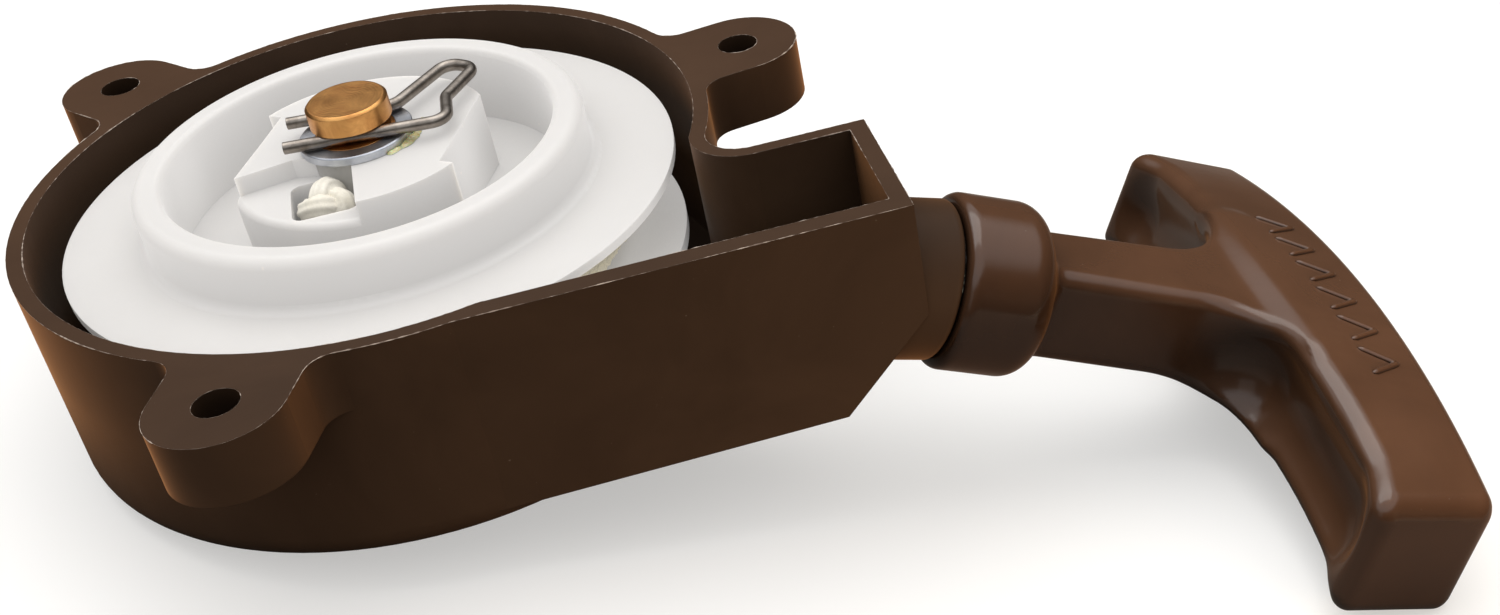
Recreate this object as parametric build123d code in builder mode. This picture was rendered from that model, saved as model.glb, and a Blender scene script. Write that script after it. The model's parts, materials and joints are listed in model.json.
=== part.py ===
"""Recoil starter for a small engine, as separate pieces in millimetres.

The origin is where the reel's axis crosses the mounting face. +Z points towards the engine,
out of the open side, and +X points along the rope box towards the handle.
"""

import os
from math import cos, pi, radians, sin

from build123d import *

# --- Housing ---
DRUM_INNER_R = 43.5
DRUM_WALL = 2.0
DRUM_DEPTH = 30.5
FLOOR = 2.2
DRUM_EDGE_R = 4.0
BOX_END_X = 62.6
BOX_FRONT_Y = -44.9
BOX_BACK_Y = -21.5
BOX_DEPTH = 27.8
FRONT_WALL = 2.7
BACK_WALL = 1.9
END_WALL = 2.3
BOX_CORNER_CUT = 12.0
BOX_BLEND_R = 5.0

# --- Mounting ears ---
EAR_PITCH_R = 52.8
EAR_COUNT = 3
EAR_ANGLE = 9.0
EAR_R = 8.2
EAR_THICK = 8.2
EAR_HOLE_R = 2.75
EAR_BLEND_R = 3.5

# --- Outlet tube, which leans away from the engine ---
TUBE_LEAN = 18.0
TUBE_START = (BOX_END_X, -34.2, -16.9)
TUBE_R = 10.4
TUBE_BORE_R = 7.9
TUBE_LENGTH = 4.0
TUBE_WEB = 3.0
TUBE_ROOT = 14.0
EYELET_BARREL_R = 4.0
EYELET_FLANGE_R = 6.4
EYELET_FLANGE = 1.2
EYELET_LENGTH = 3.8
ROPE_HOLE_R = 2.1

# --- Centre post, washers and retaining clip ---
POST_R = 5.2
POST_FOOT_Z = -29.3
HEAD_R = 5.3
HEAD_TOP_Z = 9.0
GROOVE_R = 2.55
PLATFORM_Z = 3.2
WASHER_GAP = 0.1
WASHER_THICK = 1.1
WASHER_R = 7.4
WIRE_R = 0.8
CLIP_TURN = -7.3
CLIP_LEG_Y = 3.4

# --- Reel ---
FLANGE_R = 40.1
LOWER_FLANGE_R = 39.6
FLANGE_TOP_Z = -4.3
FLANGE_THICK = 1.2
GROOVE_TOP_Z = FLANGE_TOP_Z - FLANGE_THICK
GROOVE_FLOOR_Z = -16.2
REEL_FOOT_Z = -18.0
CORE_R = 26.6
CORE_WALL = 2.2
RING_OUTER_R = 29.3
RING_INNER_R = 25.4
RING_FLOOR_Z = -7.5
WEB = 2.0
HUB_R = 12.0
HUB_FOOT_Z = -27.2
CAM_R = 17.1
LOW_RIM_Z = 0.6
POCKET_FLOOR_Z = -4.0
BUSH_R = 6.4
FIT = 0.05

# --- Spring chamber under the reel ---
CHAMBER_R = 27.5
CHAMBER_WALL = 2.0
CHAMBER_TOP_Z = -21.5
BOSS_R = 8.5
BOSS_TOP_Z = -25.5
SHEET = 0.6
CASE_HOLE_R = 10.0
COVER_THICK = 0.8
COVER_HOLE_R = 13.2
SCREW_PITCH_R = 32.2
SCREW_BOSS_R = 3.2
SCREW_R = 1.4
SCREW_HEAD_R = 2.7
SCREW_HEAD = 1.7
SPRING_OUTER_R = 26.2
SPRING_INNER_R = 13.0
SPRING_TURNS = 8
SPRING_STRIP = 0.5

# --- Rope ---
ROPE_R = 1.6
ROPE_LAYER_R = 31.0
ROPE_Z = -11.15
KNOT_R = 3.6
TAIL_Z = -12.65

# --- Pull handle ---
HANDLE_LEAN = 24.0
HANDLE_YAW = 2.0
CUP_START = 0.8
CUP_END = 13.0
CUP_R = 11.5
CUP_RECESS_R = 8.8
CUP_RECESS = 3.6
CUP_SHOULDER_R = 3.8
NECK_WIDTH = 13.4
NECK_ROOT_WIDTH = 15.4
NECK_HEIGHT = 13.2
GRIP_BACK = 43.4
GRIP_FRONT = 62.1
GRIP_HALF_INNER = 46.6
GRIP_HALF_OUTER = 44.8
GRIP_HEIGHT = 17.1
GRIP_DROP = 6.0
GRIP_BACK_SWEEP = 2.3
GRIP_FRONT_SWEEP = -0.5
GRIP_FLARE_R = 11.0
HOLLOW_R = 7.0
HOLLOW_DEPTH = 2.0
HOLLOW_NEAR = 17.0
HOLLOW_FAR = 37.5
KNOT_POCKET_R = 5.6

# --- Worked out from the driving dimensions ---
DRUM_OUTER_R = DRUM_INNER_R + DRUM_WALL
DRUM_FLOOR_Z = FLOOR - DRUM_DEPTH
BOX_FLOOR_Z = FLOOR - BOX_DEPTH
WASHER_TOP_Z = PLATFORM_Z + WASHER_GAP + WASHER_THICK
CLIP_Z = WASHER_TOP_Z + WASHER_GAP + WIRE_R
HEAD_FOOT_Z = CLIP_Z + WIRE_R + WASHER_GAP
COVER_TOP_Z = CHAMBER_TOP_Z + COVER_THICK
ROPE_OUTER_R = ROPE_LAYER_R + ROPE_R
LEAD_R = ROPE_OUTER_R + ROPE_R + WASHER_GAP

lean = radians(TUBE_LEAN)
tube_axis = Vector(cos(lean), 0, -sin(lean))
tube_side = Vector(0, 1, 0)
tube_root = Vector(*TUBE_START)
tube_end = tube_root + tube_axis * TUBE_LENGTH

down = radians(HANDLE_LEAN)
yaw = radians(HANDLE_YAW)
pull_axis = Vector(cos(down) * cos(yaw), -cos(down) * sin(yaw), -sin(down))
grip_side = Vector(sin(yaw), cos(yaw), 0)
grip_up = Vector(sin(down) * cos(yaw), -sin(down) * sin(yaw), cos(down))


def tube_plane(distance):
    """Plane square to the outlet tube, at a distance along it from the box's end wall."""
    return Plane(origin=tube_root + tube_axis * distance, x_dir=tube_side, z_dir=tube_axis)


def handle_plane(distance):
    """Plane square to the pull direction, at a distance from the tube's mouth."""
    return Plane(origin=tube_end + pull_axis * distance, x_dir=grip_side, z_dir=pull_axis)


def handle_point(along, side, up):
    return tube_end + pull_axis * along + grip_side * side + grip_up * up


def grip_plan(height):
    """Plane whose X runs along the pull and Y along the crossbar, at a height over the neck's axis."""
    return Plane(origin=tube_end + grip_up * height, x_dir=pull_axis, z_dir=grip_up)


os.makedirs("parts", exist_ok=True)

# --- starter_housing: drum, rope box, outlet tube, ears and spring chamber in one moulding ---
with BuildPart() as starter_housing:
    with BuildSketch(Plane.XY.offset(-DRUM_DEPTH)):
        Circle(DRUM_OUTER_R)
    extrude(amount=DRUM_DEPTH)
    drum_rim = starter_housing.edges().filter_by(GeomType.CIRCLE).sort_by(Axis.Z)[0]
    fillet(drum_rim, DRUM_EDGE_R)
    with BuildSketch(Plane.XY.offset(-BOX_DEPTH)) as box_outline:
        Circle(DRUM_OUTER_R - DRUM_WALL / 2)
        with Locations((BOX_END_X / 2, (BOX_FRONT_Y + BOX_BACK_Y) / 2)):
            Rectangle(BOX_END_X, BOX_BACK_Y - BOX_FRONT_Y)
    extrude(amount=BOX_DEPTH)
    box_heel = starter_housing.edges().filter_by(Axis.Y).group_by(Axis.Z)[0].sort_by(Axis.X)[-1]
    chamfer(box_heel, BOX_CORNER_CUT)
    # Blend of the box's back wall into the drum, seen as the rounded end of the slot.
    blend_x = ((DRUM_OUTER_R + BOX_BLEND_R) ** 2 - (BOX_BACK_Y + BOX_BLEND_R) ** 2) ** 0.5
    with BuildSketch(Plane.XY.offset(-BOX_DEPTH)):
        with BuildLine():
            blend_y = BOX_BACK_Y + BOX_BLEND_R
            touch = DRUM_OUTER_R / (DRUM_OUTER_R + BOX_BLEND_R)
            middle = Vector(blend_x, blend_y) + Vector(-1, -1).normalized() * BOX_BLEND_R
            ThreePointArc((blend_x, BOX_BACK_Y), middle, (blend_x * touch, blend_y * touch))
            Line((blend_x * touch, blend_y * touch), (DRUM_INNER_R * 0.8, BOX_BACK_Y))
            Line((DRUM_INNER_R * 0.8, BOX_BACK_Y), (blend_x, BOX_BACK_Y))
        make_face()
    extrude(amount=BOX_DEPTH)
    # The tube's mouth is square to the pull direction.
    with BuildSketch(tube_plane(-TUBE_ROOT)):
        Circle(TUBE_R)
    extrude(amount=TUBE_ROOT + 2 * TUBE_LENGTH)
    split(bisect_by=handle_plane(0), keep=Keep.BOTTOM)
    tube_mouth = starter_housing.edges().sort_by(Axis.X)[-1]
    fillet(tube_mouth, 1.0)
    # Ears, each with straight sides that blend into the drum.
    with BuildSketch(Plane.XY.offset(-EAR_THICK)) as ears:
        Circle(DRUM_OUTER_R)
        with PolarLocations(EAR_PITCH_R, EAR_COUNT, start_angle=EAR_ANGLE):
            Circle(EAR_R)
            with Locations((-EAR_R, 0)):
                Rectangle(2 * EAR_R, 2 * EAR_R)
        ear_roots = ears.vertices().filter_by(lambda v: abs(Vector(*v).length - DRUM_OUTER_R) < 0.05)
        fillet(ear_roots.filter_by(lambda v: abs(v.Y) > 0.001), EAR_BLEND_R)
    extrude(amount=EAR_THICK)
    # Hollow of the box, then the deeper hollow of the drum.
    with BuildSketch(Plane.XY.offset(BOX_FLOOR_Z)):
        Circle(DRUM_INNER_R)
        box_inner_front = BOX_FRONT_Y + FRONT_WALL
        box_inner_back = BOX_BACK_Y - BACK_WALL
        with Locations(((BOX_END_X - END_WALL) / 2, (box_inner_front + box_inner_back) / 2)):
            Rectangle(BOX_END_X - END_WALL, box_inner_back - box_inner_front)
        with BuildLine():
            inner_blend = BOX_BLEND_R + BACK_WALL
            inner_middle = Vector(blend_x, blend_y) + Vector(-1, -1).normalized() * inner_blend
            inner_touch = (DRUM_INNER_R - 0.1) / (DRUM_OUTER_R + BOX_BLEND_R)
            nose = (blend_x * inner_touch, blend_y * inner_touch)
            ThreePointArc((blend_x, box_inner_back), inner_middle, nose)
            Line(nose, (DRUM_INNER_R * 0.8, box_inner_back))
            Line((DRUM_INNER_R * 0.8, box_inner_back), (blend_x, box_inner_back))
        make_face()
    hollow = extrude(amount=BOX_DEPTH, mode=Mode.PRIVATE)
    hollow_heel = hollow.edges().filter_by(Axis.Y).group_by(Axis.Z)[0].sort_by(Axis.X)[-1]
    heel_cut = BOX_CORNER_CUT - END_WALL * (2 - 2**0.5) + (FLOOR - END_WALL)
    add(hollow.chamfer(heel_cut, None, [hollow_heel]), mode=Mode.SUBTRACT)
    with BuildSketch(Plane.XY.offset(DRUM_FLOOR_Z)):
        Circle(DRUM_INNER_R)
    extrude(amount=DRUM_DEPTH, mode=Mode.SUBTRACT)
    with PolarLocations(EAR_PITCH_R, EAR_COUNT, start_angle=EAR_ANGLE):
        Hole(EAR_HOLE_R)
    # Chamber wall, screw bosses and centre boss stand on the drum's floor.
    with BuildSketch(Plane.XY.offset(DRUM_FLOOR_Z)):
        Circle(CHAMBER_R + CHAMBER_WALL)
        with PolarLocations(SCREW_PITCH_R, 3, start_angle=60):
            Circle(SCREW_BOSS_R)
        Circle(CHAMBER_R, mode=Mode.SUBTRACT)
        with PolarLocations(SCREW_PITCH_R, 3, start_angle=60):
            Circle(SCREW_R, mode=Mode.SUBTRACT)
    extrude(amount=CHAMBER_TOP_Z - DRUM_FLOOR_Z)
    with BuildSketch(Plane.XY.offset(DRUM_FLOOR_Z)):
        Circle(BOSS_R)
    extrude(amount=BOSS_TOP_Z - DRUM_FLOOR_Z)
    with BuildSketch(Plane.XY.offset(POST_FOOT_Z)):
        Circle(POST_R)
    extrude(amount=BOSS_TOP_Z - POST_FOOT_Z, mode=Mode.SUBTRACT)
    # Bore of the outlet tube, stopped by a web that holds the eyelet.
    with BuildSketch(tube_plane(-END_WALL * 2)):
        Circle(TUBE_BORE_R)
    extrude(amount=END_WALL * 2 + TUBE_LENGTH - TUBE_WEB, mode=Mode.SUBTRACT)
    with BuildSketch(handle_plane(-TUBE_LENGTH)):
        Circle(EYELET_BARREL_R)
    extrude(amount=TUBE_LENGTH + 1, mode=Mode.SUBTRACT)
starter_housing.part.label = "starter_housing"
export_step(starter_housing.part, "parts/starter_housing.step")

# --- outlet_eyelet: flanged ring that the rope rubs on ---
with BuildPart() as outlet_eyelet:
    with BuildSketch(handle_plane(-EYELET_LENGTH)):
        Circle(EYELET_BARREL_R)
    extrude(amount=EYELET_LENGTH + EYELET_FLANGE)
    with BuildSketch(handle_plane(0)):
        Circle(EYELET_FLANGE_R)
    extrude(amount=EYELET_FLANGE)
    with BuildSketch(handle_plane(-EYELET_LENGTH)):
        Circle(ROPE_HOLE_R)
    extrude(amount=EYELET_LENGTH + EYELET_FLANGE, mode=Mode.SUBTRACT)
    fillet(outlet_eyelet.edges().filter_by(GeomType.CIRCLE).sort_by(Axis.X)[-2:], 0.5)
outlet_eyelet.part.label = "outlet_eyelet"
export_step(outlet_eyelet.part, "parts/outlet_eyelet.step")

# --- centre_post: turned post with a plain foot, a bearing length, a groove and a head ---
with BuildPart() as centre_post:
    with BuildSketch(Plane.XY.offset(POST_FOOT_Z)):
        Circle(POST_R)
    extrude(amount=WASHER_TOP_Z - POST_FOOT_Z)
    with BuildSketch(Plane.XY.offset(WASHER_TOP_Z)):
        Circle(GROOVE_R)
    extrude(amount=HEAD_FOOT_Z - WASHER_TOP_Z)
    with BuildSketch(Plane.XY.offset(HEAD_FOOT_Z)):
        Circle(HEAD_R)
    extrude(amount=HEAD_TOP_Z - HEAD_FOOT_Z)
    head_edges = centre_post.edges().filter_by(GeomType.CIRCLE).group_by(Axis.Z)
    chamfer(head_edges[-1], 0.35)
    chamfer(head_edges[0], 0.5)
centre_post.part.label = "centre_post"
export_step(centre_post.part, "parts/centre_post.step")


def washer(z, inner, outer, thick):
    """Flat washer with its lower face at z."""
    with BuildPart() as ring:
        with BuildSketch(Plane.XY.offset(z)):
            Circle(outer)
            Circle(inner, mode=Mode.SUBTRACT)
        extrude(amount=thick)
        top_circles = ring.edges().filter_by(GeomType.CIRCLE).group_by(Axis.Z)[-1]
        chamfer(top_circles.sort_by(SortBy.RADIUS)[-1], 0.15)
    return ring


# --- thrust_washer under the reel and top_washer over it ---
thrust_washer = washer(BOSS_TOP_Z, POST_R + FIT, BOSS_R - 0.1, 0.6)
thrust_washer.part.label = "thrust_washer"
export_step(thrust_washer.part, "parts/thrust_washer.step")
top_washer = washer(PLATFORM_Z + WASHER_GAP, POST_R + FIT, WASHER_R, WASHER_THICK - 0.02)
top_washer.part.label = "top_washer"
export_step(top_washer.part, "parts/top_washer.step")

# --- retaining_clip: hairpin of wire that straddles the post's groove ---
with BuildPart() as retaining_clip:
    clip_plane = Plane(Location((0, 0, CLIP_Z), (0, 0, CLIP_TURN)))
    with BuildLine(clip_plane) as clip_path:
        FilletPolyline(
            (-8.6, -CLIP_LEG_Y),
            (12.4, -CLIP_LEG_Y),
            (11.9, 3.2),
            (15.5, 10.6),
            (11.7, 13.5),
            (5.2, CLIP_LEG_Y + 0.15),
            (-8.9, CLIP_LEG_Y + 0.15),
            radius=(2.0, 1.8, 2.0, 2.0, 2.2),
        )
    with BuildSketch(Plane(origin=clip_path.line @ 0, z_dir=clip_path.line % 0)):
        Circle(WIRE_R)
    sweep(transition=Transition.ROUND)
retaining_clip.part.label = "retaining_clip"
export_step(retaining_clip.part, "parts/retaining_clip.step")

# --- spring_case: shallow steel cup in the chamber ---
with BuildPart() as spring_case:
    with BuildSketch(Plane.XY.offset(DRUM_FLOOR_Z)):
        Circle(CHAMBER_R - FIT)
        Circle(CASE_HOLE_R, mode=Mode.SUBTRACT)
    extrude(amount=CHAMBER_TOP_Z - DRUM_FLOOR_Z - 0.3)
    with BuildSketch(Plane.XY.offset(DRUM_FLOOR_Z + SHEET)):
        Circle(CHAMBER_R - FIT - SHEET)
    extrude(amount=CHAMBER_TOP_Z - DRUM_FLOOR_Z, mode=Mode.SUBTRACT)
spring_case.part.label = "spring_case"
export_step(spring_case.part, "parts/spring_case.step")

# --- recoil_spring: flat strip wound in a spiral ---
spring_foot_z = DRUM_FLOOR_Z + SHEET + 0.2
spring_height = CHAMBER_TOP_Z - 0.5 - spring_foot_z
turn_points = 16
spiral = [i / turn_points for i in range(SPRING_TURNS * turn_points + 1)]


def spiral_point(turn, offset):
    reach = SPRING_INNER_R + (SPRING_OUTER_R - SPRING_INNER_R) * turn / SPRING_TURNS + offset
    return reach * cos(2 * pi * turn), reach * sin(2 * pi * turn)


with BuildPart() as recoil_spring:
    with BuildSketch(Plane.XY.offset(spring_foot_z)):
        with BuildLine():
            inner_curve = Spline([spiral_point(turn, 0) for turn in spiral])
            outer_curve = Spline([spiral_point(turn, SPRING_STRIP) for turn in spiral])
            Line(inner_curve @ 0, outer_curve @ 0)
            Line(inner_curve @ 1, outer_curve @ 1)
        make_face()
    extrude(amount=spring_height)
recoil_spring.part.label = "recoil_spring"
export_step(recoil_spring.part, "parts/recoil_spring.step")

# --- spring_cover: steel plate over the chamber, with three lugs ---
with BuildPart() as spring_cover:
    with BuildSketch(Plane.XY.offset(CHAMBER_TOP_Z)):
        Circle(CHAMBER_R + CHAMBER_WALL)
        with PolarLocations(SCREW_PITCH_R, 3, start_angle=60):
            Circle(SCREW_BOSS_R)
        Circle(COVER_HOLE_R, mode=Mode.SUBTRACT)
        with PolarLocations(SCREW_PITCH_R, 3, start_angle=60):
            Circle(SCREW_R + 0.15, mode=Mode.SUBTRACT)
    extrude(amount=COVER_THICK)
spring_cover.part.label = "spring_cover"
export_step(spring_cover.part, "parts/spring_cover.step")

# --- cover_screws: three small pan-head screws ---
with BuildPart() as cover_screws:
    with BuildSketch(Plane.XY.offset(CHAMBER_TOP_Z - 4.0)):
        with PolarLocations(SCREW_PITCH_R, 3, start_angle=60):
            Circle(SCREW_R)
    extrude(amount=4.0 + COVER_THICK)
    with BuildSketch(Plane.XY.offset(COVER_TOP_Z)):
        with PolarLocations(SCREW_PITCH_R, 3, start_angle=60):
            Circle(SCREW_HEAD_R)
    extrude(amount=SCREW_HEAD)
    fillet(cover_screws.edges().filter_by(GeomType.CIRCLE).group_by(Axis.Z)[-1], 0.7)
    with BuildSketch(Plane.XY.offset(COVER_TOP_Z + SCREW_HEAD - 0.8)):
        with PolarLocations(SCREW_PITCH_R, 3, start_angle=60):
            Rectangle(0.7, 2.8)
            Rectangle(2.8, 0.7)
    extrude(amount=1.0, mode=Mode.SUBTRACT)
cover_screws.part.label = "cover_screws"
export_step(cover_screws.part, "parts/cover_screws.step")

# --- rope_reel: spool with a raised ring, a two-tooth ratchet hub and the rope knot's pocket ---
ratchet_notch = [
    (11.4, -12.9),
    (9.7, -11.6),
    (12.2, -5.5),
    (16.6, 4.7),
    (20.0, 4.7),
    (20.0, -15.8),
    (14.0, -15.8),
]
far_notch = [(-x, -y) for x, y in ratchet_notch]
with BuildPart() as rope_reel:
    with BuildSketch(Plane.XY.offset(GROOVE_TOP_Z)):
        Circle(FLANGE_R)
    extrude(amount=FLANGE_THICK)
    with BuildSketch(Plane.XY.offset(GROOVE_TOP_Z)):
        Circle(RING_OUTER_R)
    extrude(amount=PLATFORM_Z - GROOVE_TOP_Z)
    with BuildSketch(Plane.XY.offset(RING_FLOOR_Z - WEB)):
        Circle(CORE_R)
    extrude(amount=GROOVE_TOP_Z - RING_FLOOR_Z + WEB)
    with BuildSketch(Plane.XY.offset(RING_FLOOR_Z)):
        Circle(RING_INNER_R)
    extrude(amount=PLATFORM_Z - RING_FLOOR_Z, mode=Mode.SUBTRACT)
    rings = rope_reel.edges().filter_by(GeomType.CIRCLE).group_by(Axis.Z)[-1].sort_by(SortBy.RADIUS)
    fillet(rings[-1], 1.5)
    fillet(rings[0], 0.9)
    foot = rope_reel.edges().filter_by(GeomType.CIRCLE)
    fillet(foot.filter_by(lambda e: abs(e.radius - RING_OUTER_R) < 0.01).sort_by(Axis.Z)[0], 1.2)
    # Core wall and lower flange.
    with BuildSketch(Plane.XY.offset(REEL_FOOT_Z)):
        Circle(CORE_R)
        Circle(CORE_R - CORE_WALL, mode=Mode.SUBTRACT)
    extrude(amount=RING_FLOOR_Z - REEL_FOOT_Z - 0.5)
    with BuildSketch(Plane.XY.offset(REEL_FOOT_Z)):
        Circle(LOWER_FLANGE_R)
        Circle(CORE_R - CORE_WALL, mode=Mode.SUBTRACT)
    extrude(amount=GROOVE_FLOOR_Z - REEL_FOOT_Z)
    # Six ribs stiffen the underside.
    with BuildSketch(Plane.XY.offset(REEL_FOOT_Z)):
        with PolarLocations((CORE_R + HUB_R - CORE_WALL) / 2, 6, start_angle=30):
            Rectangle(CORE_R - HUB_R, 1.6)
    extrude(amount=RING_FLOOR_Z - REEL_FOOT_Z - 0.5)
    with BuildSketch(Plane.XY.offset(HUB_FOOT_Z)):
        Circle(HUB_R)
    extrude(amount=RING_FLOOR_Z - HUB_FOOT_Z - 0.5)
    # Ratchet hub with two notches for the engine's pawls, half a turn apart.
    with BuildSketch(Plane.XY.offset(RING_FLOOR_Z - 0.5)):
        Circle(CAM_R)
        with BuildLine():
            Polyline(ratchet_notch, close=True)
        make_face(mode=Mode.SUBTRACT)
        with BuildLine():
            Polyline(far_notch, close=True)
        make_face(mode=Mode.SUBTRACT)
    extrude(amount=PLATFORM_Z - RING_FLOOR_Z + 0.5)
    # Lower step in front of the knot's pocket, then the pocket.
    with BuildSketch(Plane.XY.offset(LOW_RIM_Z)):
        with BuildLine():
            Polyline([(-1.2, -4.2), (-1.2, -20.0), (-18.0, -14.0), (-18.0, -3.6), (-8.6, -1.8)], close=True)
        make_face()
    extrude(amount=PLATFORM_Z, mode=Mode.SUBTRACT)
    with BuildSketch(Plane.XY.offset(POCKET_FLOOR_Z)):
        with Locations((-5.4, -8.9)):
            RectangleRounded(8.4, 9.4, 1.5)
    extrude(amount=8, mode=Mode.SUBTRACT)
    low_rim = rope_reel.edges().filter_by(GeomType.CIRCLE)
    low_rim = low_rim.filter_by(lambda e: abs(e.radius - CAM_R) < 0.01)
    fillet(low_rim.filter_by(lambda e: abs(e.center().Z - LOW_RIM_Z) < 0.01), 0.9)
    # Bore for the bush, counterbore round the housing's boss, and the rope's way to the groove.
    with BuildSketch(Plane.XY.offset(HUB_FOOT_Z)):
        Circle(BUSH_R)
    extrude(amount=PLATFORM_Z - HUB_FOOT_Z, mode=Mode.SUBTRACT)
    with BuildSketch(Plane.XY.offset(HUB_FOOT_Z)):
        Circle(BOSS_R + 0.6)
    extrude(amount=BOSS_TOP_Z + 0.7 - HUB_FOOT_Z, mode=Mode.SUBTRACT)
    knot_hole = (-6.6, -11.4)
    with BuildSketch(Plane.XY.offset(POCKET_FLOOR_Z + 1)):
        with Locations(knot_hole):
            Circle(ROPE_HOLE_R)
    extrude(amount=-(POCKET_FLOOR_Z + 1 - TAIL_Z + ROPE_HOLE_R), mode=Mode.SUBTRACT)
    knot_out = Vector(*knot_hole).normalized()
    with BuildSketch(Plane(origin=(*knot_hole, TAIL_Z), z_dir=(knot_out.X, knot_out.Y, 0))):
        Circle(ROPE_HOLE_R)
    extrude(amount=CORE_R - Vector(*knot_hole).length + 0.5, mode=Mode.SUBTRACT)
rope_reel.part.label = "rope_reel"
export_step(rope_reel.part, "parts/rope_reel.step")

# --- reel_bush: sleeve pressed into the reel, running on the post ---
with BuildPart() as reel_bush:
    with BuildSketch(Plane.XY.offset(BOSS_TOP_Z + 0.7)):
        Circle(BUSH_R - 0.01)
        Circle(POST_R + FIT, mode=Mode.SUBTRACT)
    extrude(amount=PLATFORM_Z - BOSS_TOP_Z - 0.8)
reel_bush.part.label = "reel_bush"
export_step(reel_bush.part, "parts/reel_bush.step")

# --- rope_coil: the rope wound on the reel, its outer layer showing three turns ---
with BuildPart() as rope_coil:
    with BuildSketch(Plane.XZ):
        coil_low = GROOVE_FLOOR_Z + 0.15
        coil_high = GROOVE_TOP_Z - 0.15
        with Locations(((CORE_R + 0.05 + ROPE_LAYER_R) / 2, (coil_low + coil_high) / 2)):
            Rectangle(ROPE_LAYER_R - CORE_R - 0.05, coil_high - coil_low)
        with Locations((ROPE_LAYER_R, ROPE_Z)):
            with GridLocations(0, 2 * ROPE_R, 1, 3):
                Circle(ROPE_R)
    revolve(axis=Axis.Z)
rope_coil.part.label = "rope_coil"
export_step(rope_coil.part, "parts/rope_coil.step")

# --- reel_knot: the knot in its pocket, with the tail that runs to the groove ---
knot_centre = Vector(-5.2, -8.8, POCKET_FLOOR_Z + KNOT_R * 0.86)
with BuildPart() as reel_knot:
    with Locations(knot_centre):
        Sphere(KNOT_R)
    split(bisect_by=Plane.XY.offset(POCKET_FLOOR_Z), keep=Keep.TOP)
    with BuildLine() as tail:
        reach = CORE_R - 0.3
        FilletPolyline(
            (*knot_hole, POCKET_FLOOR_Z + 0.5),
            (*knot_hole, TAIL_Z),
            (knot_out.X * reach, knot_out.Y * reach, TAIL_Z),
            radius=1.9,
        )
    with BuildSketch(Plane(origin=tail.line @ 0, z_dir=tail.line % 0)):
        Circle(ROPE_R)
    sweep()
reel_knot.part.label = "reel_knot"
export_step(reel_knot.part, "parts/reel_knot.step")

# --- rope_lead: last half turn round the coil, then straight through the box to the eyelet ---
eyelet_inside = handle_point(-EYELET_LENGTH, 0, 0)
rope_mouth = handle_point(EYELET_FLANGE, 0, 0)
with BuildPart() as rope_lead:
    with BuildLine() as lead_path:
        wrap = ThreePointArc((0, LEAD_R, ROPE_Z), (-LEAD_R, 0, ROPE_Z), (0, -LEAD_R, ROPE_Z))
        bend = Vector(6.0, -LEAD_R, ROPE_Z)
        Line(wrap @ 1, bend)
        Spline(bend, eyelet_inside, tangents=[(1, 0, 0), pull_axis])
        Line(eyelet_inside, rope_mouth)
    with BuildSketch(Plane(origin=lead_path.line @ 0, z_dir=lead_path.line % 0)):
        Circle(ROPE_R)
    sweep()
rope_lead.part.label = "rope_lead"
export_step(rope_lead.part, "parts/rope_lead.step")

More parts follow.
